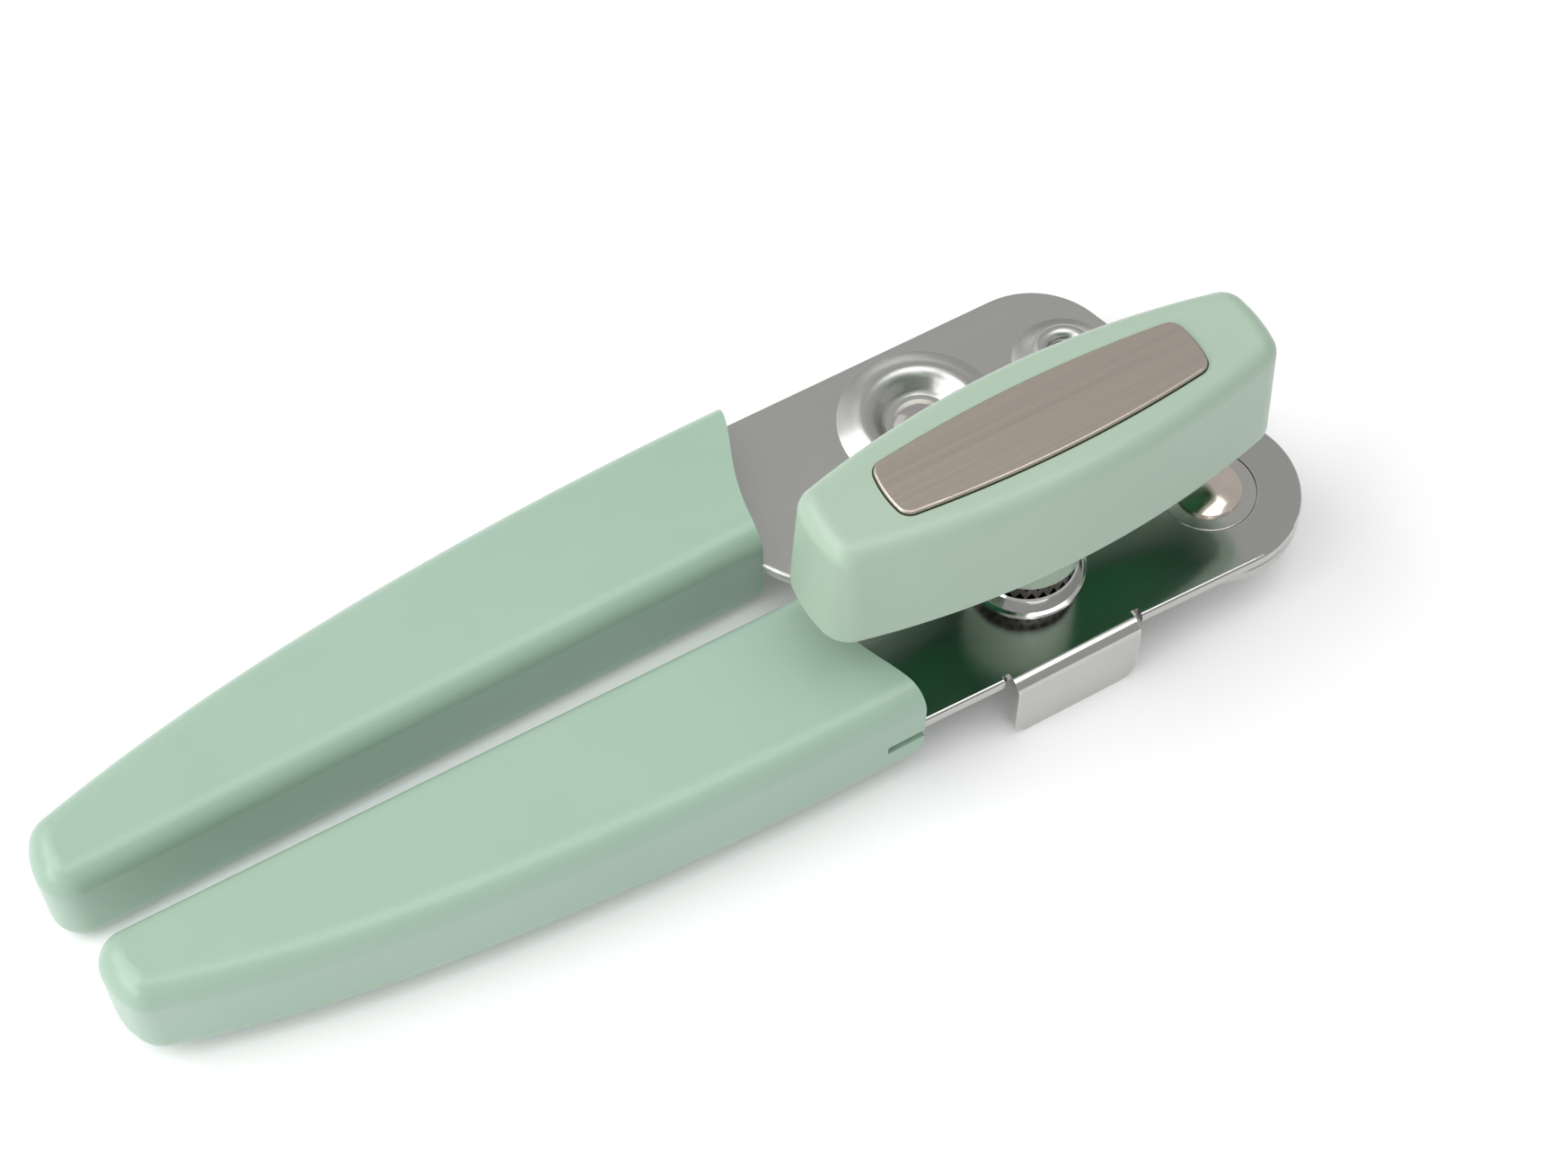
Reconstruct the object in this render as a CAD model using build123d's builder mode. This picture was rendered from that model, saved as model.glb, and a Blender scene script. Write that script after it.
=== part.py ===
"""Manual can opener with a turning knob, two sleeved handles and geared wheels.

Millimetres, +Z up.  The opener lies flat with its knob upwards.  The origin is the
middle of its box, on the surface it lies on, and +X runs from the grips to the head.
"""
import os
from math import acos, atan2, cos, degrees, pi, radians, sin, tan

from build123d import *

# ---- driving dimensions ----
HALF_LENGTH = 98.9
HALF_WIDTH = 32.6
CENTRE_Y = 0.5  # line midway between the two handles
FRONT_TOE_IN = 0.011  # the front handle closes in a little towards the head

PLATE_T = 2.0
PLATE_GAP = 0.3
FRONT_Z = 12.0  # underside of the front plate
BACK_Z = FRONT_Z - PLATE_GAP - PLATE_T  # underside of the back plate
FRONT_TOP = FRONT_Z + PLATE_T
BACK_TOP = BACK_Z + PLATE_T
EDGE_ROUND = 0.6
RUN_FIT = 0.05  # radial clearance of a running fit

DRIVE = (52.4, -14.3)  # knob, gear and feed wheel axis
HEAD_R = 14.6
PIVOT = (HALF_LENGTH - HEAD_R, DRIVE[1] - 2.6)  # handle pivot axis
CUTTER = (DRIVE[0] + 12.0, DRIVE[1] + 15.4)  # cutting wheel axis, in the back plate
BOSS = (DRIVE[0] + 1.2, DRIVE[1] + 31.9)  # large stamped boss
BOSS_R = 13.4
CONE = (DRIVE[0] + 26.9, DRIVE[1] + 30.5)  # small stamped boss
CONE_R = 8.3
SHOULDER = (DRIVE[0] + 22.8, DRIVE[1] + 32.6)  # centre of the back plate's round corner
SHOULDER_R = 13.9

GRIP_T = 19.4
GRIP_OUTER = HALF_WIDTH - CENTRE_Y
GRIP_INNER_HEAD = 6.4
GRIP_INNER_TIP = 4.8
GRIP_HEAD_X = 18.8
GRIP_TOP_R = 4.3
GRIP_BOTTOM_R = 4.6
GRIP_TIP_R = 5.0
FRONT_TIP_X = -96.9
BACK_TIP_X = -HALF_LENGTH
MOUTH_H = 1.8  # slot beside the plate at the front grip's head

TAB_X0 = DRIVE[0] - 12.2
TAB_X1 = DRIVE[0] + 9.5
TAB_BEND_R = 2.2
TAB_CORNER_R = 3.0

KNOB_Z = 32.0
KNOB_TOP = 53.4
KNOB_LEAN = 1.2  # how far the sides lean in at the top
KNOB_WALL = 2.4
KNOB_CEILING = KNOB_TOP - 3.8
KNOB_WEB_T = 2.2
KNOB_WEB_Z = KNOB_Z + 10.0  # the web sits this far up inside the open knob
KNOB_WEB_GAP = 0.25  # between the web and the knob's wall
KNOB_POST_R = 6.4
HUB_R = 8.6
HUB_Z = 20.6
INLAY_Z = 52.4
INLAY_TOP = 54.0
INLAY_GAP = 0.2
# half length, half width at the middle, half width at the ends, end bulge, corner radius
KNOB_PLAN = (38.8, 12.6, 7.6, 1.2, 5.0)
CAVITY_PLAN = (38.8 - KNOB_WALL, 12.6 - KNOB_WALL, 7.6 - KNOB_WALL, 1.2, 3.0)
INLAY_PLAN = (26.1, 6.4, 4.8, 0.7, 2.2)
SCREW_R = 2.0
SCREW_HEAD_R = 4.0
SCREW_HEAD_H = 1.4
SCREW_DEPTH = 12.0

SHAFT_R = 4.0
SHAFT_SQUARE = 5.6
SHAFT_TOP = 47.0
SHAFT_THREAD_R = 2.5
BUSH_STEM_R = 6.0
BUSH_FLANGE_R = 9.5
BUSH_TOP_R = 8.2
BUSH_H = 2.8
SPRING_R = 7.8
SPRING_TEETH = 28
SPRING_NOTCH = 1.5

GEAR_MODULE = 1.0
DRIVE_TEETH = 19
CUTTER_TEETH = 20
PRESSURE_ANGLE = radians(20)
BACKLASH = 0.12  # taken off each flank
GEAR_TOP = BACK_Z - 0.5
GEAR_BOTTOM = GEAR_TOP - 2.5
FEED_Z = 4.3
FEED_R = 8.0
FEED_TEETH = 32
FEED_TOOTH_H = 0.7
NUT_Z = 2.3
NUT_ACROSS_FLATS = 8.0

AXLE_R = 3.0
CUTTER_R = 12.2
CUTTER_Z = 2.7
CUTTER_T = 1.1
CUTTER_HUB_R = 5.0
CUTTER_SPIGOT_R = 4.2
AXLE_END = CUTTER_Z - RUN_FIT
AXLE_SCREW_HEAD_H = 0.9
AXLE_SCREW_DEPTH = 4.5

RIVET_R = 3.5
RIVET_HEAD_R = 5.2
RING_R = 7.6
RING_DEPTH = 0.7
BACKING_T = 0.8


def front(x, y):
    """Point of the front handle, y measured outwards from the centreline."""
    return (x, CENTRE_Y - y + FRONT_TOE_IN * (x + HALF_LENGTH))


def back(x, y):
    """Point of the back handle, y measured outwards from the centreline."""
    return (x, CENTRE_Y + y)


def from_drive(x, y):
    """Point given from the drive axis."""
    return (DRIVE[0] + x, DRIVE[1] + y)


def lying_at(point, z):
    """Horizontal plane with its origin over a point."""
    return Plane(origin=(point[0], point[1], z))


def upright_at(point):
    """Vertical plane through an axis, for profiles that are revolved."""
    return Plane(origin=(point[0], point[1], 0), x_dir=(1, 0, 0), z_dir=(0, -1, 0))


def axis_at(point):
    """Vertical axis through a point."""
    return Axis((point[0], point[1], 0), (0, 0, 1))


def turned(point, profile):
    """Solid of revolution: profile is a list of (radius, z) corners."""
    with BuildPart() as solid:
        with BuildSketch(upright_at(point)):
            with BuildLine():
                Polyline(*profile, close=True)
            make_face()
        revolve(axis=axis_at(point))
    return solid.part


def ring(point, outer_r, inner_r, z_low, z_high):
    """Flat washer."""
    with BuildPart() as washer:
        with BuildSketch(lying_at(point, z_low)):
            Circle(outer_r)
            Circle(inner_r, mode=Mode.SUBTRACT)
        extrude(amount=z_high - z_low)
    return washer.part


def dome_rivet(point, shank_r, head_r, head_z, head_h, tail_z, tail_r, tail_h):
    """Rivet with a domed head above and a flatter formed head below."""
    edge = 0.3 * head_h
    cap_r = (head_r**2 + (head_h - edge) ** 2) / (2 * (head_h - edge))
    half = atan2(head_r, cap_r - head_h + edge) / 2
    top_z = head_z + head_h
    with BuildPart() as rivet:
        with BuildSketch(upright_at(point)):
            with BuildLine():
                Polyline(
                    (0, top_z),
                    (0, tail_z - tail_h),
                    (tail_r * 0.6, tail_z - tail_h),
                    (tail_r, tail_z),
                    (shank_r, tail_z),
                    (shank_r, head_z),
                    (head_r, head_z),
                    (head_r, head_z + edge),
                )
                ThreePointArc(
                    (head_r, head_z + edge),
                    (cap_r * sin(half), top_z - cap_r * (1 - cos(half))),
                    (0, top_z),
                )
            make_face()
        revolve(axis=axis_at(point))
    return rivet.part


def flank_angle(radius, teeth):
    """Half the angle that an involute tooth fills at a radius."""
    pitch_r = teeth * GEAR_MODULE / 2
    base_r = pitch_r * cos(PRESSURE_ANGLE)
    at_r = acos(base_r / max(radius, base_r))
    involute = tan(PRESSURE_ANGLE) - PRESSURE_ANGLE - (tan(at_r) - at_r)
    return pi / (2 * teeth) + involute - BACKLASH / radius


def gear_blank(point, teeth, z_low, z_high, tooth_angle):
    """Spur gear disc with one tooth centred on tooth_angle, in degrees."""
    pitch_r = teeth * GEAR_MODULE / 2
    root_r = pitch_r - 1.25 * GEAR_MODULE
    tip_r = pitch_r + GEAR_MODULE
    base_r = pitch_r * cos(PRESSURE_ANGLE)
    radii = [root_r - 0.3, base_r, (base_r + pitch_r) / 2, pitch_r]
    radii += [(pitch_r + tip_r) / 2, tip_r]
    right = [(r * cos(flank_angle(r, teeth)), -r * sin(flank_angle(r, teeth))) for r in radii]
    left = [(x, -y) for x, y in reversed(right)]
    with BuildPart() as gear:
        with BuildSketch(lying_at(point, z_low)):
            Circle(root_r)
            with PolarLocations(0, teeth, start_angle=tooth_angle):
                Polygon(*right, *left, align=None)
        extrude(amount=z_high - z_low)
    return gear.part


def knob_outline(half_length, half_width, end_width, bulge, corner_r):
    """Boat shape: long sides bowed outwards, blunt ends with rounded corners."""
    with BuildSketch() as outline:
        with BuildLine():
            a = (-half_length + bulge, -end_width)
            b = (half_length - bulge, -end_width)
            c = (half_length - bulge, end_width)
            d = (-half_length + bulge, end_width)
            ThreePointArc(a, (0, -half_width), b)
            ThreePointArc(b, (half_length, 0), c)
            ThreePointArc(c, (0, half_width), d)
            ThreePointArc(d, (-half_length, 0), a)
        make_face()
        fillet(outline.vertices(), corner_r)
    return outline.sketch


def drafted_block(outline, z_low, z_high):
    """Upright block over the drive axis whose sides lean inwards towards the top."""
    lean_angle = degrees(atan2(KNOB_LEAN, KNOB_TOP - KNOB_Z))
    with BuildPart() as block:
        with BuildSketch(lying_at(DRIVE, z_low)):
            add(outline)
        extrude(amount=z_high - z_low)
        sides = block.faces().filter_by(lambda f: abs(f.normal_at().Z) < 0.5)
        draft(sides, neutral_plane=lying_at(DRIVE, z_low), angle=lean_angle)
    return block.part


def grip_sleeve(place, tip_x):
    """Grip as a solid bar; place is front or back and mirrors it."""
    with BuildPart() as grip:
        with BuildSketch(Plane.XY) as outline:
            with BuildLine():
                inner_tip = place(tip_x + 1.2, GRIP_INNER_TIP)
                outer_tip = place(tip_x + 2.6, 17.7)
                inner_head = place(GRIP_HEAD_X, GRIP_INNER_HEAD)
                outer_head = place(GRIP_HEAD_X + 6.4, GRIP_OUTER)
                Line(inner_head, inner_tip)
                ThreePointArc(inner_tip, place(tip_x, 10.5), outer_tip)
                Spline(
                    outer_tip,
                    place(-70, 24.1),
                    place(-36, 29.0),
                    place(0, 31.6),
                    outer_head,
                )
                Spline(
                    outer_head,
                    place(GRIP_HEAD_X + 5.5, 27.5),
                    place(GRIP_HEAD_X + 2.9, 21.0),
                    place(GRIP_HEAD_X + 0.3, 11.0),
                    inner_head,
                )
            make_face()
            fillet(outline.vertices().sort_by(Axis.X)[:2], GRIP_TIP_R)
        extrude(amount=GRIP_T)
        head_end = GRIP_HEAD_X - 2
        top_edges = grip.edges().group_by(Axis.Z)[-1]
        fillet(top_edges.filter_by(lambda e: e.center().X < head_end), GRIP_TOP_R)
        fillet(grip.edges().group_by(Axis.Z)[0], GRIP_BOTTOM_R)
    return grip.part


# ---- front plate: tang, drive and pivot holes, bent rim guide ----
with BuildPart() as front_plate:
    with BuildSketch(Plane.XY.offset(FRONT_Z)):
        with BuildLine():
            Polyline(
                front(-72, 18.5),
                front(-40, 24.0),
                front(0, 27.0),
                from_drive(-38, -15.6),
                from_drive(0, -16.4),
                (PIVOT[0], PIVOT[1] - HEAD_R),
                (PIVOT[0], PIVOT[1] + HEAD_R),
                from_drive(-6, 10.4),
                from_drive(-14, 10.4),
                front(GRIP_HEAD_X, 7.3),
                front(10, 8.4),
                front(-72, 10.5),
                close=True,
            )
        make_face()
        with Locations(PIVOT):
            Circle(HEAD_R)
    extrude(amount=PLATE_T)
    fillet(front_plate.faces().sort_by(Axis.Z)[-1].edges(), EDGE_ROUND)
    fillet(front_plate.faces().sort_by(Axis.Z)[0].edges(), EDGE_ROUND / 2)
    with Locations(lying_at(DRIVE, FRONT_Z)):
        Hole(BUSH_STEM_R)
    with Locations(lying_at(PIVOT, FRONT_TOP)):
        CounterBoreHole(RIVET_R, RING_R + 0.1, RING_DEPTH)
    with BuildSketch(Plane.XY.offset(FRONT_Z)):
        for notch_x in (TAB_X0 - 0.6, TAB_X1 + 0.6):
            with Locations((notch_x, DRIVE[1] - 16.6)):
                Rectangle(1.2, 3.0)
    extrude(amount=PLATE_T, mode=Mode.SUBTRACT)
    bend_y = -HALF_WIDTH + TAB_BEND_R
    with BuildSketch(Plane.YZ.offset(TAB_X0)):
        with BuildLine():
            bend_in = TAB_BEND_R - PLATE_T
            inside_y = bend_y + 2.5
            Line((inside_y, FRONT_TOP), (bend_y, FRONT_TOP))
            RadiusArc((bend_y, FRONT_TOP), (-HALF_WIDTH, FRONT_TOP - TAB_BEND_R), -TAB_BEND_R)
            Line((-HALF_WIDTH, FRONT_TOP - TAB_BEND_R), (-HALF_WIDTH, 0))
            Line((-HALF_WIDTH, 0), (-HALF_WIDTH + PLATE_T, 0))
            Line((-HALF_WIDTH + PLATE_T, 0), (-HALF_WIDTH + PLATE_T, FRONT_TOP - TAB_BEND_R))
            RadiusArc(
                (-HALF_WIDTH + PLATE_T, FRONT_TOP - TAB_BEND_R), (bend_y, FRONT_Z), bend_in
            )
            Line((bend_y, FRONT_Z), (inside_y, FRONT_Z))
            Line((inside_y, FRONT_Z), (inside_y, FRONT_TOP))
        make_face()
    extrude(amount=TAB_X1 - TAB_X0)
    tab_corners = front_plate.edges().filter_by(Axis.Y).group_by(Axis.Z)[0]
    fillet(tab_corners, TAB_CORNER_R)

# ---- back plate: tang, pivot and cutter holes, two stamped bosses ----
with BuildPart() as back_plate:
    with BuildSketch(Plane.XY.offset(BACK_Z)):
        with BuildSketch(mode=Mode.PRIVATE) as head_discs:
            with Locations(PIVOT):
                Circle(HEAD_R)
            with Locations(SHOULDER):
                Circle(SHOULDER_R)
        make_hull(head_discs.sketch.edges())
        with BuildLine():
            Polyline(
                (SHOULDER[0], SHOULDER[1] + SHOULDER_R),
                back(22, 31.75),
                back(8, 29.0),
                back(-40, 24.0),
                back(-72, 18.5),
                back(-72, 10.5),
                back(10, 8.4),
                back(GRIP_HEAD_X - 0.6, 7.3),
            )
            Spline(
                back(GRIP_HEAD_X - 0.6, 7.3),
                back(GRIP_HEAD_X + 1.9, 2.6),
                from_drive(-25.6, 12.1),
                from_drive(-14, 9.4),
            )
            Polyline(
                from_drive(-14, 9.4),
                (PIVOT[0] - 10, PIVOT[1] + 8),
                (SHOULDER[0], SHOULDER[1] + SHOULDER_R),
            )
        make_face()
        with Locations(DRIVE):
            Circle(BUSH_STEM_R + 1.4, mode=Mode.SUBTRACT)
    extrude(amount=PLATE_T)
    fillet(back_plate.faces().sort_by(Axis.Z)[-1].edges(), EDGE_ROUND)
    fillet(back_plate.faces().sort_by(Axis.Z)[0].edges(), EDGE_ROUND / 2)
    with Locations(lying_at(PIVOT, BACK_TOP)):
        Hole(RIVET_R + RUN_FIT)
    with Locations(lying_at(CUTTER, BACK_TOP)):
        Hole(AXLE_R)
    with Locations(lying_at(BOSS, BACK_TOP)):
        Hole(BOSS_R)
    with Locations(lying_at(CONE, BACK_TOP)):
        Hole(CONE_R)
    with BuildSketch(upright_at(BOSS)):
        with BuildLine():
            Line((BOSS_R, BACK_TOP), (BOSS_R, BACK_Z))
            ThreePointArc((BOSS_R, BACK_Z), (10.9, BACK_Z + 1.4), (8.8, BACK_Z + 0.5))
            Line((8.8, BACK_Z + 0.5), (7.4, BACK_Z - 0.8))
            Line((7.4, BACK_Z - 0.8), (2.0, BACK_Z - 0.8))
            Line((2.0, BACK_Z - 0.8), (2.0, BACK_TOP - 1.0))
            Line((2.0, BACK_TOP - 1.0), (5.6, BACK_TOP - 1.0))
            Spline(
                (5.6, BACK_TOP - 1.0),
                (7.3, BACK_TOP + 0.9),
                (9.1, BACK_TOP + 2.1),
                (11.4, BACK_TOP + 1.1),
                (BOSS_R, BACK_TOP),
                tangents=((1, 0.4), (1, -0.4)),
            )
        make_face()
    revolve(axis=axis_at(BOSS))
    with BuildSketch(upright_at(CONE)):
        with BuildLine():
            Line((CONE_R, BACK_TOP), (CONE_R, BACK_Z))
            Line((CONE_R, BACK_Z), (7.2, BACK_Z))
            Line((7.2, BACK_Z), (4.6, BACK_TOP))
            Line((4.6, BACK_TOP), (0, BACK_TOP))
            Line((0, BACK_TOP), (0, BACK_TOP + 1.4))
            Line((0, BACK_TOP + 1.4), (2.8, BACK_TOP + 1.4))
            ThreePointArc(
                (2.8, BACK_TOP + 1.4), (3.8, BACK_TOP + 3.4), (5.2, BACK_TOP + 2.6)
            )
            Spline(
                (5.2, BACK_TOP + 2.6),
                (6.7, BACK_TOP + 1.2),
                (CONE_R, BACK_TOP),
                tangents=((1, -1.0), (1, -0.45)),
            )
        make_face()
    revolve(axis=axis_at(CONE))

# ---- grips: one sleeve shape, mirrored, each pushed over its plate's tang ----
with BuildPart() as front_grip:
    add(grip_sleeve(front, FRONT_TIP_X).moved(Location((0, 0, FRONT_Z - BACK_Z))))
    add(front_plate.part, mode=Mode.SUBTRACT)
    with BuildSketch(Plane.XZ.offset(HALF_WIDTH)):
        with Locations((GRIP_HEAD_X + 4.5, FRONT_Z - 0.3 - MOUTH_H / 2)):
            Rectangle(9.0, MOUTH_H)
    extrude(amount=-3.4, mode=Mode.SUBTRACT)

with BuildPart() as back_grip:
    add(grip_sleeve(back, BACK_TIP_X))
    add(back_plate.part, mode=Mode.SUBTRACT)

# ---- handle pivot ----
with BuildPart() as pivot_rivet:
    tail_z = BACK_Z - BACKING_T
    add(dome_rivet(PIVOT, RIVET_R, RIVET_HEAD_R, FRONT_TOP, 1.8, tail_z, 5.2, 1.5))

with BuildPart() as pivot_washer:
    add(ring(PIVOT, RING_R, RIVET_R, FRONT_TOP - RING_DEPTH, FRONT_TOP))
    rim = pivot_washer.faces().sort_by(Axis.Z)[-1].edges().sort_by(SortBy.RADIUS)[-1]
    fillet(rim, 0.2)

with BuildPart() as pivot_shim:
    add(ring(PIVOT, 9.0, RIVET_R, BACK_TOP + RUN_FIT, FRONT_Z))

with BuildPart() as pivot_backing_washer:
    add(ring(PIVOT, 6.5, RIVET_R, BACK_Z - BACKING_T, BACK_Z - RUN_FIT))

# ---- drive bush, spring and shaft ----
with BuildPart() as drive_bush:
    profile = [
        (SHAFT_R + RUN_FIT, GEAR_TOP + RUN_FIT),
        (BUSH_STEM_R, GEAR_TOP + RUN_FIT),
        (BUSH_STEM_R, FRONT_TOP),
        (BUSH_FLANGE_R, FRONT_TOP),
        (BUSH_FLANGE_R, FRONT_TOP + 0.4),
        (BUSH_FLANGE_R - 0.5, FRONT_TOP + 0.6),
        (BUSH_TOP_R, FRONT_TOP + BUSH_H - 0.3),
        (BUSH_TOP_R - 0.3, FRONT_TOP + BUSH_H),
        (SHAFT_R + RUN_FIT, FRONT_TOP + BUSH_H),
    ]
    add(turned(DRIVE, profile))

SPRING_Z = FRONT_TOP + BUSH_H
SPRING_TOP = HUB_Z - 0.4
with BuildPart() as wave_spring:
    add(ring(DRIVE, SPRING_R, SHAFT_R + 1.2, SPRING_Z, SPRING_TOP))
    notch_half = 0.42 * 2 * pi * SPRING_R / SPRING_TEETH
    for i in range(2 * SPRING_TEETH):
        angle = 180 * i / SPRING_TEETH
        edge_z, depth = (SPRING_Z, SPRING_NOTCH) if i % 2 == 0 else (SPRING_TOP, -SPRING_NOTCH)
        outwards = (cos(radians(angle)), sin(radians(angle)), 0)
        with BuildSketch(Plane(origin=(*DRIVE, edge_z), x_dir=(0, 0, 1), z_dir=outwards)):
            Polygon((0, -notch_half), (0, notch_half), (depth, 0), align=None)
        extrude(amount=SPRING_R + 1, mode=Mode.SUBTRACT)

with BuildPart() as thrust_washer:
    add(ring(DRIVE, BUSH_TOP_R + 0.1, SHAFT_R, SPRING_TOP + RUN_FIT, HUB_Z))

with BuildPart() as drive_shaft:
    with BuildSketch(lying_at(DRIVE, NUT_Z - 0.4)):
        Circle(SHAFT_THREAD_R)
    extrude(amount=FEED_Z - NUT_Z + 0.4)
    with BuildSketch(lying_at(DRIVE, FEED_Z)):
        Rectangle(SHAFT_SQUARE, SHAFT_SQUARE)
    extrude(amount=GEAR_TOP - FEED_Z)
    with BuildSketch(lying_at(DRIVE, GEAR_TOP)):
        Circle(SHAFT_R)
    extrude(amount=HUB_Z - GEAR_TOP)
    with BuildSketch(lying_at(DRIVE, HUB_Z)):
        Rectangle(SHAFT_SQUARE, SHAFT_SQUARE)
    extrude(amount=SHAFT_TOP - HUB_Z)
    with BuildSketch(lying_at(DRIVE, SHAFT_TOP)):
        Circle(SCREW_R)
    extrude(amount=-SCREW_DEPTH, mode=Mode.SUBTRACT)

# ---- knob: hollow body, base with the neck, brushed inlay and its screw ----
with BuildPart() as knob_body:
    add(drafted_block(knob_outline(*KNOB_PLAN), KNOB_Z, KNOB_TOP))
    fillet(knob_body.faces().sort_by(Axis.Z)[-1].edges(), 3.2)
    fillet(knob_body.faces().sort_by(Axis.Z)[0].edges(), 0.8)
    cavity = drafted_block(knob_outline(*CAVITY_PLAN), KNOB_Z, KNOB_CEILING)
    add(cavity, mode=Mode.SUBTRACT)
    with BuildSketch(lying_at(DRIVE, INLAY_Z)):
        add(knob_outline(*INLAY_PLAN))
        offset(amount=INLAY_GAP)
    extrude(amount=INLAY_TOP - INLAY_Z, mode=Mode.SUBTRACT)
    with Locations(lying_at(DRIVE, INLAY_Z)):
        CounterBoreHole(SCREW_R, SCREW_HEAD_R + 0.4, SCREW_HEAD_H)

with BuildPart() as knob_base:
    wall_lean = KNOB_LEAN * (KNOB_WEB_Z + KNOB_WEB_T - KNOB_Z) / (KNOB_TOP - KNOB_Z)
    with BuildSketch(lying_at(DRIVE, KNOB_WEB_Z)):
        add(knob_outline(*CAVITY_PLAN))
        offset(amount=-wall_lean - KNOB_WEB_GAP)
    extrude(amount=KNOB_WEB_T)
    with BuildSketch(lying_at(DRIVE, HUB_Z)):
        Circle(HUB_R)
    extrude(amount=KNOB_WEB_Z + KNOB_WEB_T - HUB_Z)
    with BuildSketch(lying_at(DRIVE, KNOB_WEB_Z)):
        Circle(KNOB_POST_R)
    extrude(amount=KNOB_CEILING - KNOB_WEB_Z)
    with BuildSketch(lying_at(DRIVE, HUB_Z)):
        Rectangle(SHAFT_SQUARE, SHAFT_SQUARE)
    extrude(amount=SHAFT_TOP - HUB_Z, mode=Mode.SUBTRACT)
    with Locations(lying_at(DRIVE, KNOB_CEILING)):
        Hole(SCREW_R)
    fillet(knob_base.faces().sort_by(Axis.Z)[0].edges().filter_by(GeomType.CIRCLE), 0.5)

with BuildPart() as knob_inlay:
    with BuildSketch(lying_at(DRIVE, INLAY_Z)):
        add(knob_outline(*INLAY_PLAN))
    extrude(amount=INLAY_TOP - INLAY_Z)
    fillet(knob_inlay.faces().sort_by(Axis.Z)[-1].edges(), 0.4)

with BuildPart() as knob_screw:
    screw_seat = INLAY_Z - SCREW_HEAD_H
    screw_end = SHAFT_TOP - SCREW_DEPTH
    add(turned(DRIVE, [
        (0, screw_end), (SCREW_R, screw_end), (SCREW_R, screw_seat), (SCREW_HEAD_R, screw_seat),
        (SCREW_HEAD_R, screw_seat + 0.8), (0, screw_seat + 1.1),
    ]))
    with BuildSketch(lying_at(DRIVE, screw_seat + 0.6)):
        Rectangle(9, 0.9)
    extrude(amount=1, mode=Mode.SUBTRACT)

# ---- gears and wheels ----
mesh_angle = degrees(atan2(CUTTER[1] - DRIVE[1], CUTTER[0] - DRIVE[0]))

with BuildPart() as drive_gear:
    add(gear_blank(DRIVE, DRIVE_TEETH, GEAR_BOTTOM, GEAR_TOP, mesh_angle))
    with BuildSketch(lying_at(DRIVE, GEAR_BOTTOM)):
        Rectangle(SHAFT_SQUARE, SHAFT_SQUARE)
    extrude(amount=GEAR_TOP - GEAR_BOTTOM, mode=Mode.SUBTRACT)

with BuildPart() as feed_wheel:
    with BuildSketch(lying_at(DRIVE, FEED_Z)):
        Circle(FEED_R - FEED_TOOTH_H)
        tooth_w = 2 * pi * (FEED_R - FEED_TOOTH_H) / FEED_TEETH
        with PolarLocations(0, FEED_TEETH):
            Polygon(
                (FEED_R - FEED_TOOTH_H - 0.2, -tooth_w / 2),
                (FEED_R, 0),
                (FEED_R - FEED_TOOTH_H - 0.2, tooth_w / 2),
                align=None,
            )
        Rectangle(SHAFT_SQUARE, SHAFT_SQUARE, mode=Mode.SUBTRACT)
    extrude(amount=GEAR_BOTTOM - FEED_Z)

with BuildPart() as drive_nut:
    with BuildSketch(lying_at(DRIVE, NUT_Z)):
        RegularPolygon(NUT_ACROSS_FLATS / 2, 6, major_radius=False)
        Circle(SHAFT_THREAD_R, mode=Mode.SUBTRACT)
    extrude(amount=FEED_Z - NUT_Z)

with BuildPart() as cutter_gear:
    half_tooth = 180 / CUTTER_TEETH
    add(gear_blank(CUTTER, CUTTER_TEETH, GEAR_BOTTOM, GEAR_TOP, mesh_angle + 180 + half_tooth))
    with BuildSketch(lying_at(CUTTER, CUTTER_Z + CUTTER_T)):
        Circle(CUTTER_HUB_R)
    extrude(amount=GEAR_BOTTOM - CUTTER_Z - CUTTER_T)
    with BuildSketch(lying_at(CUTTER, CUTTER_Z)):
        Circle(CUTTER_SPIGOT_R)
    extrude(amount=CUTTER_T)
    with Locations(lying_at(CUTTER, GEAR_TOP)):
        Hole(AXLE_R + RUN_FIT)

with BuildPart() as cutting_wheel:
    cutter_top = CUTTER_Z + CUTTER_T
    add(turned(CUTTER, [
        (CUTTER_SPIGOT_R, CUTTER_Z), (CUTTER_R - 2.6, CUTTER_Z), (CUTTER_R, cutter_top - 0.12),
        (CUTTER_R, cutter_top), (CUTTER_SPIGOT_R, cutter_top),
    ]))

with BuildPart() as cutter_axle:
    add(turned(CUTTER, [
        (0, AXLE_END), (AXLE_R, AXLE_END), (AXLE_R, BACK_TOP), (AXLE_R + 0.6, BACK_TOP),
        (AXLE_R + 0.6, BACK_TOP + 0.6), (AXLE_R - 0.4, BACK_TOP + 1.1), (0, BACK_TOP + 1.1),
    ]))
    with BuildSketch(lying_at(CUTTER, AXLE_END)):
        Circle(SCREW_R)
    extrude(amount=AXLE_SCREW_DEPTH, mode=Mode.SUBTRACT)

with BuildPart() as cutter_washer:
    add(ring(CUTTER, 6.0, AXLE_R, GEAR_TOP + RUN_FIT, BACK_Z))

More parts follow.
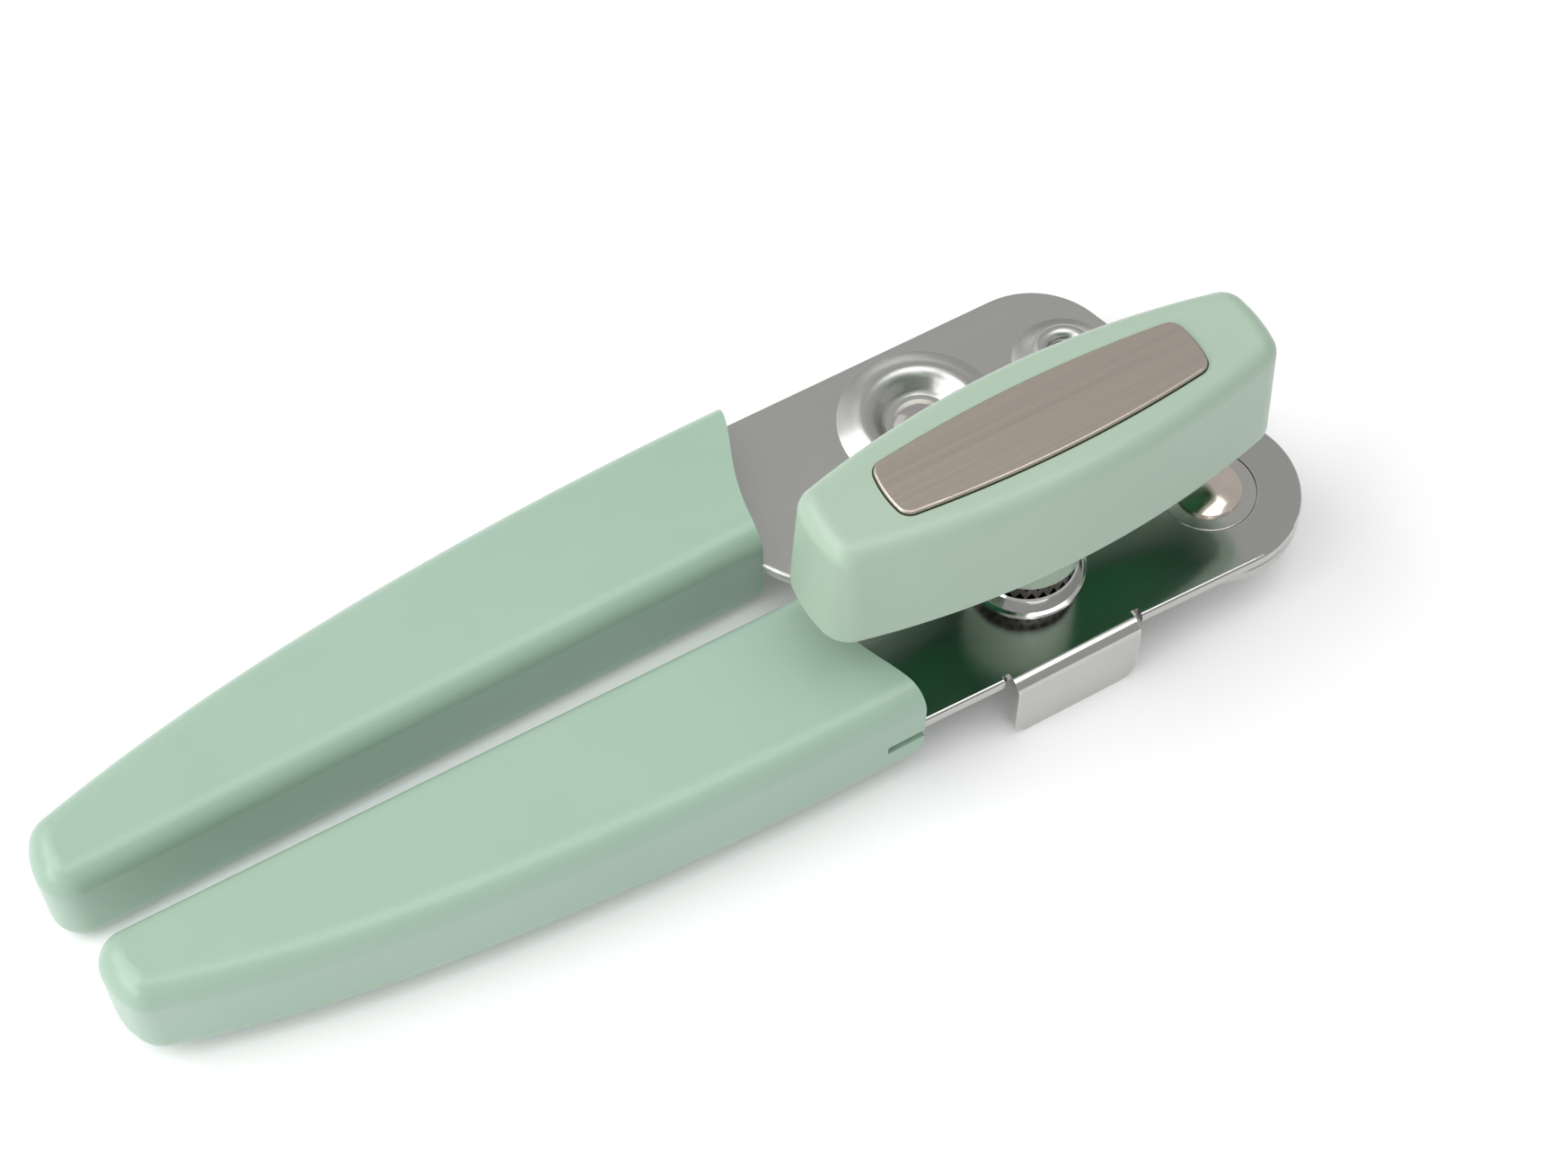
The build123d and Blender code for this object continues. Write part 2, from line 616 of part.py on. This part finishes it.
with BuildPart() as cutter_screw:
    seat_z = AXLE_END - RUN_FIT
    head_z = seat_z - AXLE_SCREW_HEAD_H
    add(turned(CUTTER, [
        (0, head_z), (3.9, head_z), (4.6, head_z + 0.4), (4.6, seat_z), (AXLE_R, seat_z),
        (AXLE_R, AXLE_END), (SCREW_R, AXLE_END), (SCREW_R, AXLE_END + AXLE_SCREW_DEPTH),
        (0, AXLE_END + AXLE_SCREW_DEPTH),
    ]))
    with BuildSketch(lying_at(CUTTER, head_z)):
        Rectangle(10, 1.0)
    extrude(amount=0.5, mode=Mode.SUBTRACT)

# ---- lid magnet under the large boss ----
MAGNET_TOP = BACK_Z - 0.8
with BuildPart() as lid_magnet:
    add(ring(BOSS, 7.2, 2.0, MAGNET_TOP - 3.0, MAGNET_TOP))
    fillet(lid_magnet.faces().sort_by(Axis.Z)[0].edges().sort_by(SortBy.RADIUS)[-1], 0.4)

with BuildPart() as magnet_rivet:
    add(dome_rivet(BOSS, 2.0, 4.4, BACK_TOP - 1.0, 1.9, MAGNET_TOP - 3.0, 3.4, 0.9))

# ---- write every piece ----
pieces = {
    "front_plate": front_plate,
    "back_plate": back_plate,
    "front_grip": front_grip,
    "back_grip": back_grip,
    "pivot_rivet": pivot_rivet,
    "pivot_washer": pivot_washer,
    "pivot_shim": pivot_shim,
    "pivot_backing_washer": pivot_backing_washer,
    "drive_bush": drive_bush,
    "wave_spring": wave_spring,
    "thrust_washer": thrust_washer,
    "drive_shaft": drive_shaft,
    "knob_body": knob_body,
    "knob_base": knob_base,
    "knob_inlay": knob_inlay,
    "knob_screw": knob_screw,
    "drive_gear": drive_gear,
    "feed_wheel": feed_wheel,
    "drive_nut": drive_nut,
    "cutter_gear": cutter_gear,
    "cutting_wheel": cutting_wheel,
    "cutter_axle": cutter_axle,
    "cutter_washer": cutter_washer,
    "cutter_screw": cutter_screw,
    "lid_magnet": lid_magnet,
    "magnet_rivet": magnet_rivet,
}
os.makedirs("parts", exist_ok=True)
for name, piece in pieces.items():
    piece.part.label = name
    export_step(piece.part, f"parts/{name}.step")
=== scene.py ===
import math

import bpy
from mathutils import Matrix, Vector


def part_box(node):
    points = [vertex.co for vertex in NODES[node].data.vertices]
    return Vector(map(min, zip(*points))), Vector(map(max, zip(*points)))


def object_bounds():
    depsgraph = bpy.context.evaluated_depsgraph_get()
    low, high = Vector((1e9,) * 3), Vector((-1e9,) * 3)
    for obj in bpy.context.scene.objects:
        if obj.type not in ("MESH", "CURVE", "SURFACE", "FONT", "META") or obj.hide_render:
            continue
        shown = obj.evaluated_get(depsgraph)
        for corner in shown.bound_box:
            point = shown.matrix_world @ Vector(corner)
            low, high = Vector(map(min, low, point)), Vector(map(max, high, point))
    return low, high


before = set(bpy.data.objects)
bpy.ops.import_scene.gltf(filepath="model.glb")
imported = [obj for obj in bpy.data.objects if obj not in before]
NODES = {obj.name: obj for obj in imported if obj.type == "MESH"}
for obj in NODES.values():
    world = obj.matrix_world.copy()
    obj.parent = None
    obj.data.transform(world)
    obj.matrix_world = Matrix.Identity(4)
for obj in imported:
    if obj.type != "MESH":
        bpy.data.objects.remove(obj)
CAD_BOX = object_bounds()
MM = 0.001
LOW, HIGH = 0, 1  # the two corners of a box


# ---- colours -------------------------------------------------------------------------------


def linear(r, g, b):
    """A colour given in 0-255 display values, as linear light with alpha."""
    out = []
    for value in (r, g, b):
        v = value / 255
        out.append(v / 12.92 if v <= 0.04045 else ((v + 0.055) / 1.055) ** 2.4)
    return (*out, 1.0)


def scaled(colour, factor):
    """The same hue, lighter or darker."""
    return (*[min(1.0, c * factor) for c in colour[:3]], 1.0)


# ---- material building blocks --------------------------------------------------------------

BEVEL_SAMPLES = 6
EDGE_START, EDGE_STOP = 0.90, 0.995  # cosines between the rounded and the true normal
NOISE_LOW, NOISE_HIGH = 0.35, 0.65  # where nearly all of a noise texture's values lie


class Builder:
    """A node tree with a Principled shader, and short calls for what repeats.

    Texture scales are in features per metre, since object coordinates are in metres.
    """

    def __init__(self, name):
        self.material = bpy.data.materials.new(name)
        self.material.use_nodes = True
        self.tree = self.material.node_tree
        self.tree.nodes.clear()
        self.output = self.add("ShaderNodeOutputMaterial")
        self.shader = self.add("ShaderNodeBsdfPrincipled")
        self.link(self.shader.outputs["BSDF"], self.output.inputs["Surface"])
        self.coordinates = self.add("ShaderNodeTexCoord")
        self.bump_in = None

    def add(self, kind, **settings):
        """A new node with its properties set."""
        node = self.tree.nodes.new(kind)
        for key, value in settings.items():
            setattr(node, key, value)
        return node

    def link(self, a, b):
        """Output a feeds input b."""
        self.tree.links.new(a, b)

    def set(self, **values):
        """Constant values on the shader's own sockets."""
        for key, value in values.items():
            self.shader.inputs[key.replace("_", " ")].default_value = value

    def to(self, output, socket):
        """A texture output feeds one of the shader's sockets."""
        self.link(output, self.shader.inputs[socket])

    def place(self, scale, turn=0.0):
        """Object coordinates turned about Z and scaled per axis, for a streaky texture."""
        mapping = self.add("ShaderNodeMapping")
        mapping.inputs["Scale"].default_value = scale
        mapping.inputs["Rotation"].default_value = (0, 0, turn)
        self.link(self.coordinates.outputs["Object"], mapping.inputs["Vector"])
        return mapping.outputs["Vector"]

    def noise(self, scale, detail=2.0, roughness=0.5, vector=None):
        """A noise texture's value, on plain object coordinates unless a vector is given."""
        node = self.add("ShaderNodeTexNoise")
        node.inputs["Scale"].default_value = scale
        node.inputs["Detail"].default_value = detail
        node.inputs["Roughness"].default_value = roughness
        self.link(vector or self.coordinates.outputs["Object"], node.inputs["Vector"])
        return node.outputs["Fac"]

    def spread(self, fac, low, high, start=NOISE_LOW, stop=NOISE_HIGH):
        """A value that runs from start to stop, mapped to low-high."""
        node = self.add("ShaderNodeMapRange")
        node.inputs["From Min"].default_value = start
        node.inputs["From Max"].default_value = stop
        node.inputs["To Min"].default_value = low
        node.inputs["To Max"].default_value = high
        self.link(fac, node.inputs["Value"])
        return node.outputs["Result"]

    def mix(self, fac, a, b):
        """Mix of two colours; each may be a colour or a socket."""
        node = self.add("ShaderNodeMix", data_type="RGBA")
        sockets = [i for i in node.inputs if i.type == "RGBA"]
        for socket, value in zip(sockets, (a, b)):
            if isinstance(value, tuple):
                socket.default_value = value
            else:
                self.link(value, socket)
        self.link(fac, node.inputs["Factor"])
        return [o for o in node.outputs if o.type == "RGBA"][0]

    def total(self, a, b):
        """The sum of two values."""
        node = self.add("ShaderNodeMath", operation="ADD")
        self.link(a, node.inputs[0])
        self.link(b, node.inputs[1])
        return node.outputs["Value"]

    def bump(self, height, strength, distance):
        """One more layer of relief; distance is the real depth in metres."""
        node = self.add("ShaderNodeBump")
        node.inputs["Strength"].default_value = strength
        node.inputs["Distance"].default_value = distance
        self.link(height, node.inputs["Height"])
        if self.bump_in is not None:
            self.link(self.bump_in, node.inputs["Normal"])
        self.bump_in = node.outputs["Normal"]
        self.link(self.bump_in, self.shader.inputs["Normal"])

    def edges(self, radius):
        """1 on convex and concave edges, 0 on open surface: how much a rounded normal differs;
        the mask for painted edge highlights.
        """
        bevel = self.add("ShaderNodeBevel", samples=BEVEL_SAMPLES)
        bevel.inputs["Radius"].default_value = radius
        geometry = self.add("ShaderNodeNewGeometry")
        dot = self.add("ShaderNodeVectorMath", operation="DOT_PRODUCT")
        self.link(bevel.outputs["Normal"], dot.inputs[0])
        self.link(geometry.outputs["Normal"], dot.inputs[1])
        return self.spread(dot.outputs["Value"], 1.0, 0.0, EDGE_START, EDGE_STOP)


# ---- moulded plastic -----------------------------------------------------------------------

FLOW_SCALE = 26.0  # clouding where the melt flowed
SPECK_SCALE = 2600.0
POLISH_SCALE = 60.0  # patches that handling has polished
SPARK_SCALE = 1900.0  # spark-eroded grain of the mould
SPARK_ROUGH = 0.008
SPARK_DEPTH = 0.005 * MM
SINK_SCALE = 90.0  # shallow sink marks
SINK_DEPTH = 0.04 * MM
# how far the painted shade deep inside a moulding takes to fade in
PAINTED_SHADE_FADE = 6.0 * MM


def moulded_plastic(name, colour, tint, rough_low, rough_high, painted_shade=None, painted_shade_z=0.0):
    """Satin moulded plastic with a thin glossy skin.

    Above the given height the colour turns to the second colour: painted shade for faces deep
    inside a moulding, standing for the little light that reaches them.
    """
    b = Builder(name)
    flow = b.noise(FLOW_SCALE, 3.0, 0.55)
    base = b.mix(b.spread(flow, 0.0, 1.0, 0.3, 0.7), colour, tint)
    # painted shade: above the given height the colour turns towards the shade colour
    if painted_shade is not None:
        height = b.add("ShaderNodeSeparateXYZ")
        b.link(b.coordinates.outputs["Object"], height.inputs["Vector"])
        depth = b.spread(height.outputs["Z"], 0.0, 1.0, painted_shade_z, painted_shade_z + PAINTED_SHADE_FADE)
        base = b.mix(depth, base, painted_shade)
    speck = b.noise(SPECK_SCALE, 1.0)
    b.to(b.mix(b.spread(speck, 0.0, 0.03), base, scaled(colour, 0.86)), "Base Color")
    polish = b.noise(POLISH_SCALE, 4.0, 0.6)
    spark = b.noise(SPARK_SCALE, 2.0)
    rough = b.spread(polish, rough_low, rough_high)
    b.to(b.total(rough, b.spread(spark, -SPARK_ROUGH, SPARK_ROUGH)), "Roughness")
    b.bump(b.noise(SINK_SCALE, 2.0), 0.12, SINK_DEPTH)
    b.bump(spark, 0.03, SPARK_DEPTH)
    b.set(Specular_IOR_Level=0.45, IOR=1.47)
    b.set(Coat_Weight=0.25, Coat_Roughness=0.12, Coat_IOR=1.45)
    return b.material


# ---- rolled sheet --------------------------------------------------------------------------

ROLLING_SCALES = (18.0, 900.0, 900.0)  # long streaks along X
PLATING_SCALE = 34.0
PLATING_TONE = 0.95  # the plating's darker patches
SHEET_WAVE_SCALE = 120.0
SHEET_WAVE_DEPTH = 0.04 * MM
ROLLING_DEPTH = 0.01 * MM
SHEET_HIGHLIGHT_RADIUS = 0.5 * MM


def rolled_steel(name, colour, rough_low, rough_high):
    """Nickel-plated pressed sheet: faint rolling grain, slightly uneven plating, edges painted
    lighter as a highlight.
    """
    b = Builder(name)
    streak = b.noise(1.0, 4.0, 0.6, b.place(ROLLING_SCALES))
    plating = b.noise(PLATING_SCALE, 3.0, 0.6)
    base = b.mix(b.spread(plating, 0.0, 1.0, 0.3, 0.7), colour, scaled(colour, PLATING_TONE))
    base = b.mix(b.spread(streak, 0.0, 0.10), base, scaled(colour, 0.84))
    # painted highlight: the sheet's edges are lighter
    b.to(b.mix(b.edges(SHEET_HIGHLIGHT_RADIUS), base, scaled(colour, 1.22)), "Base Color")
    rough = b.spread(plating, rough_low, rough_high)
    b.to(b.total(rough, b.spread(streak, -0.012, 0.02)), "Roughness")
    b.bump(b.noise(SHEET_WAVE_SCALE, 2.0), 0.18, SHEET_WAVE_DEPTH)
    b.bump(streak, 0.12, ROLLING_DEPTH)
    b.set(Metallic=1.0)
    return b.material


# ---- turned metal --------------------------------------------------------------------------

WAVE_SCALE = 320.0
WAVE_DEPTH = 0.04 * MM
HAIRLINE_SCALES = (300.0, 2600.0, 2600.0)
HAIRLINE_TURN = 0.6
HAIRLINE_DEPTH = 0.006 * MM
TURNED_HIGHLIGHT_RADIUS = 0.25 * MM


def turned_metal(name, colour, rough_low, rough_high):
    """Plated or polished turned metal: soft unevenness, hairline marks, edges painted lighter as
    a highlight.
    """
    b = Builder(name)
    waves = b.noise(WAVE_SCALE, 2.0, 0.5)
    hair = b.noise(1.0, 3.0, 0.6, b.place(HAIRLINE_SCALES, HAIRLINE_TURN))
    tone = b.mix(b.spread(waves, 0.0, 0.5), colour, scaled(colour, 0.86))
    # painted highlight: edges lighter
    b.to(b.mix(b.edges(TURNED_HIGHLIGHT_RADIUS), tone, scaled(colour, 1.15)), "Base Color")
    rough = b.spread(waves, rough_low, rough_high)
    b.to(b.total(rough, b.spread(hair, -0.02, 0.04)), "Roughness")
    b.bump(waves, 0.2, WAVE_DEPTH)
    b.bump(hair, 0.12, HAIRLINE_DEPTH)
    b.set(Metallic=1.0)
    return b.material


# ---- sintered metal ------------------------------------------------------------------------

GRAIN_SCALE = 1400.0
GRAIN_DEPTH = 0.03 * MM
PORE_START, PORE_STOP = 0.30, 0.48
SINTER_CLOUD_SCALE = 150.0
SINTERED_HIGHLIGHT_RADIUS = 0.3 * MM


def sintered_metal(name, colour, rough_low, rough_high):
    """Pressed-powder gears: fine open grain with darker pores."""
    b = Builder(name)
    grains = b.noise(GRAIN_SCALE, 3.0, 0.6)
    clouds = b.noise(SINTER_CLOUD_SCALE, 2.0)
    tone = b.mix(b.spread(clouds, 0.0, 0.6), colour, scaled(colour, 0.7))
    pores = b.spread(grains, 0.5, 0.0, PORE_START, PORE_STOP)
    tone = b.mix(pores, tone, scaled(colour, 0.35))
    # painted highlight: edges lighter
    b.to(b.mix(b.edges(SINTERED_HIGHLIGHT_RADIUS), tone, scaled(colour, 1.35)), "Base Color")
    b.to(b.spread(grains, rough_high, rough_low), "Roughness")
    b.bump(grains, 0.45, GRAIN_DEPTH)
    b.set(Metallic=1.0)
    return b.material


# ---- brushed metal -------------------------------------------------------------------------

BRUSH_SCALES = (22.0, 3400.0, 3400.0)  # fine lines along X
BAND_SCALES = (9.0, 700.0, 700.0)
BRUSH_DEPTH = 0.02 * MM
INLAY_HIGHLIGHT_RADIUS = 0.6 * MM


def brushed_inlay(name, colour):
    """Lengthways-brushed aluminium plate whose rolled edge is painted lighter as a highlight."""
    b = Builder(name)
    streak = b.noise(1.0, 5.0, 0.65, b.place(BRUSH_SCALES))
    band = b.noise(1.0, 2.0, 0.5, b.place(BAND_SCALES))
    lines = b.spread(streak, 0.0, 0.75, 0.3, 0.7)
    tone = b.mix(lines, scaled(colour, 1.06), scaled(colour, 0.78))
    tone = b.mix(b.spread(band, 0.0, 0.35), tone, scaled(colour, 0.86))
    # painted highlight: the rolled edge lighter
    b.to(b.mix(b.edges(INLAY_HIGHLIGHT_RADIUS), tone, scaled(colour, 1.5)), "Base Color")
    b.to(b.spread(streak, 0.30, 0.44), "Roughness")
    b.bump(streak, 0.5, BRUSH_DEPTH)
    b.set(Metallic=1.0)
    return b.material


# ---- materials for the CAD nodes -----------------------------------------------------------

GREEN = linear(160, 186, 168)
GREEN_DEEP = linear(155, 182, 163)
KNOB_GREEN = linear(166, 187, 168)
KNOB_DEEP = linear(161, 183, 164)
# painted shade: a deeper green for the hollow knob's inside, standing for the little light in
# there, not a colour of the plastic
KNOB_PAINTED_SHADE = linear(62, 150, 104)
KNOB_MOUTH_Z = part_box("knob_body")[LOW].z
NICKEL = linear(196, 196, 192)
GEAR_STEEL = linear(158, 154, 148)

looks = {
    "front_grip": moulded_plastic("front_grip_plastic", GREEN, GREEN_DEEP, 0.30, 0.36),
    "back_grip": moulded_plastic("back_grip_plastic", GREEN, GREEN_DEEP, 0.30, 0.36),
    "knob_body": moulded_plastic("knob_plastic", KNOB_GREEN, KNOB_DEEP, 0.38, 0.48),
    # the knob's inner web is painted with shade above the knob's mouth
    "knob_base": moulded_plastic(
        "knob_base_plastic", KNOB_GREEN, KNOB_DEEP, 0.40, 0.50, KNOB_PAINTED_SHADE, KNOB_MOUTH_Z
    ),
    "knob_inlay": brushed_inlay("inlay_aluminium", linear(194, 184, 172)),
    "front_plate": rolled_steel("front_plate_steel", NICKEL, 0.09, 0.15),
    "back_plate": rolled_steel("back_plate_steel", NICKEL, 0.292, 0.34),
    "drive_bush": turned_metal("collar_chrome", linear(225, 225, 224), 0.05, 0.09),
    "wave_spring": turned_metal("spring_steel", linear(92, 88, 82), 0.30, 0.42),
    "pivot_shim": turned_metal("shim_steel", linear(110, 106, 100), 0.30, 0.42),
    "pivot_rivet": turned_metal("rivet_steel", linear(232, 219, 208), 0.10, 0.17),
    "pivot_washer": turned_metal("washer_nickel", linear(205, 204, 200), 0.12, 0.20),
    "pivot_backing_washer": turned_metal(
        "backing_washer_nickel", linear(200, 199, 195), 0.16, 0.26
    ),
    "magnet_rivet": turned_metal("magnet_rivet_steel", linear(206, 204, 200), 0.10, 0.18),
    "cutter_axle": turned_metal("axle_steel", linear(198, 197, 194), 0.16, 0.26),
    "cutter_screw": turned_metal("cutter_screw_steel", linear(196, 194, 188), 0.18, 0.28),
    "knob_screw": turned_metal("knob_screw_steel", linear(190, 189, 184), 0.20, 0.30),
    "drive_nut": turned_metal("nut_steel", linear(196, 195, 190), 0.18, 0.28),
    "thrust_washer": turned_metal("thrust_washer_steel", linear(190, 188, 184), 0.20, 0.30),
    "cutter_washer": turned_metal("cutter_washer_steel", linear(188, 187, 183), 0.20, 0.30),
    "drive_shaft": turned_metal("shaft_steel", linear(192, 191, 187), 0.18, 0.28),
    "drive_gear": sintered_metal("drive_gear_steel", GEAR_STEEL, 0.32, 0.50),
    "cutter_gear": sintered_metal("cutter_gear_steel", GEAR_STEEL, 0.32, 0.50),
    "feed_wheel": sintered_metal("feed_wheel_steel", linear(170, 167, 160), 0.28, 0.44),
    "cutting_wheel": rolled_steel("blade_steel", linear(205, 205, 203), 0.12, 0.20),
    "lid_magnet": turned_metal("magnet_nickel", linear(170, 170, 172), 0.20, 0.30),
}
for node, material in looks.items():
    for material_slot in NODES[node].material_slots:
        material_slot.material = material


# ---- floor ---------------------------------------------------------------------------------

FLOOR_HALF = 4.0
PAPER = (0.93, 0.93, 0.935, 1.0)
PAPER_GLOW = 0.07  # stands in for the light a wide studio sweep adds
PAPER_SCALE = 900.0
PAPER_DEPTH = 0.02 * MM
WHITE = (1.0, 1.0, 1.0, 1.0)


def plane(name, half, z, material):
    """A level square sheet facing up."""
    mesh = bpy.data.meshes.new(name)
    corners = [(-half, -half, z), (half, -half, z), (half, half, z), (-half, half, z)]
    mesh.from_pydata(corners, [], [(0, 1, 2, 3)])
    mesh.materials.append(material)
    made = bpy.data.objects.new(name, mesh)
    bpy.context.scene.collection.objects.link(made)
    return made


def floor_material():
    """Matt white paper that glows a little."""
    b = Builder("floor_paper")
    b.set(Base_Color=PAPER, Roughness=0.9, Specular_IOR_Level=0.1)
    b.set(Emission_Color=WHITE, Emission_Strength=PAPER_GLOW)
    b.bump(b.noise(PAPER_SCALE, 2.0), 0.05, PAPER_DEPTH)
    return b.material


floor = plane("floor", FLOOR_HALF, CAD_BOX[LOW].z, floor_material())


# ---- light ---------------------------------------------------------------------------------

WORLD_STRENGTH = 0.5
LIGHTS = (
    # name, direction from the object to the lamp, distance in m, size in m, power in W
    ("key_softbox", (-0.75, 0.40, 1.0), 1.4, (1.1, 1.0), 10.0),
    ("top_softbox", (0.10, -0.20, 1.0), 1.5, (1.2, 0.9), 7.0),
    ("left_softbox", (-1.0, -0.1, 0.45), 1.4, (1.0, 0.7), 5.5),
    ("back_left_softbox", (-0.36, 0.80, 0.48), 1.4, (1.0, 0.7), 0.8),
)


def softbox(name, direction, distance, size, power):
    """A white rectangular area light aimed at the object's middle."""
    light = bpy.data.lights.new(name, "AREA")
    light.shape = "RECTANGLE"
    light.size, light.size_y = size
    light.energy = power
    made = bpy.data.objects.new(name, light)
    bpy.context.scene.collection.objects.link(made)
    way = Vector(direction).normalized()
    made.location = (CAD_BOX[LOW] + CAD_BOX[HIGH]) / 2 + way * distance
    made.rotation_euler = way.to_track_quat("Z", "Y").to_euler()


for lamp in LIGHTS:
    softbox(*lamp)

world = bpy.data.worlds.new("studio")
bpy.context.scene.world = world
world.use_nodes = True
world.node_tree.nodes["Background"].inputs["Color"].default_value = WHITE
world.node_tree.nodes["Background"].inputs["Strength"].default_value = WORLD_STRENGTH


# ---- camera --------------------------------------------------------------------------------

AZIMUTH = math.radians(30.0)
ELEVATION = math.radians(58.51)
AIM_RIGHT = 36.54 * MM  # how far the drive axis lies right of the view's centre line
AIM_UP = 3.57 * MM  # how far it lies above it, at the front plate's top
AIM_DEPTH = 478.5 * MM
SENSOR_WIDTH = 36.0
LENS = 72.165

right = Vector((math.cos(AZIMUTH), -math.sin(AZIMUTH), 0))
forward = Vector((
    math.sin(AZIMUTH) * math.cos(ELEVATION),
    math.cos(AZIMUTH) * math.cos(ELEVATION),
    -math.sin(ELEVATION),
))
up = right.cross(forward)
shaft_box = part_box("drive_shaft")
drive_top = (shaft_box[LOW] + shaft_box[HIGH]) / 2
drive_top.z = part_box("front_plate")[HIGH].z

camera_data = bpy.data.cameras.new("camera")
camera_data.sensor_width = SENSOR_WIDTH
camera_data.lens = LENS
camera = bpy.data.objects.new("camera", camera_data)
bpy.context.scene.collection.objects.link(camera)
eye = drive_top - right * AIM_RIGHT - up * AIM_UP - forward * AIM_DEPTH
turn = Matrix((right, up, -forward)).transposed().to_4x4()
camera.matrix_world = Matrix.Translation(eye) @ turn
bpy.context.scene.camera = camera
bpy.context.scene.view_settings.view_transform = "Standard"
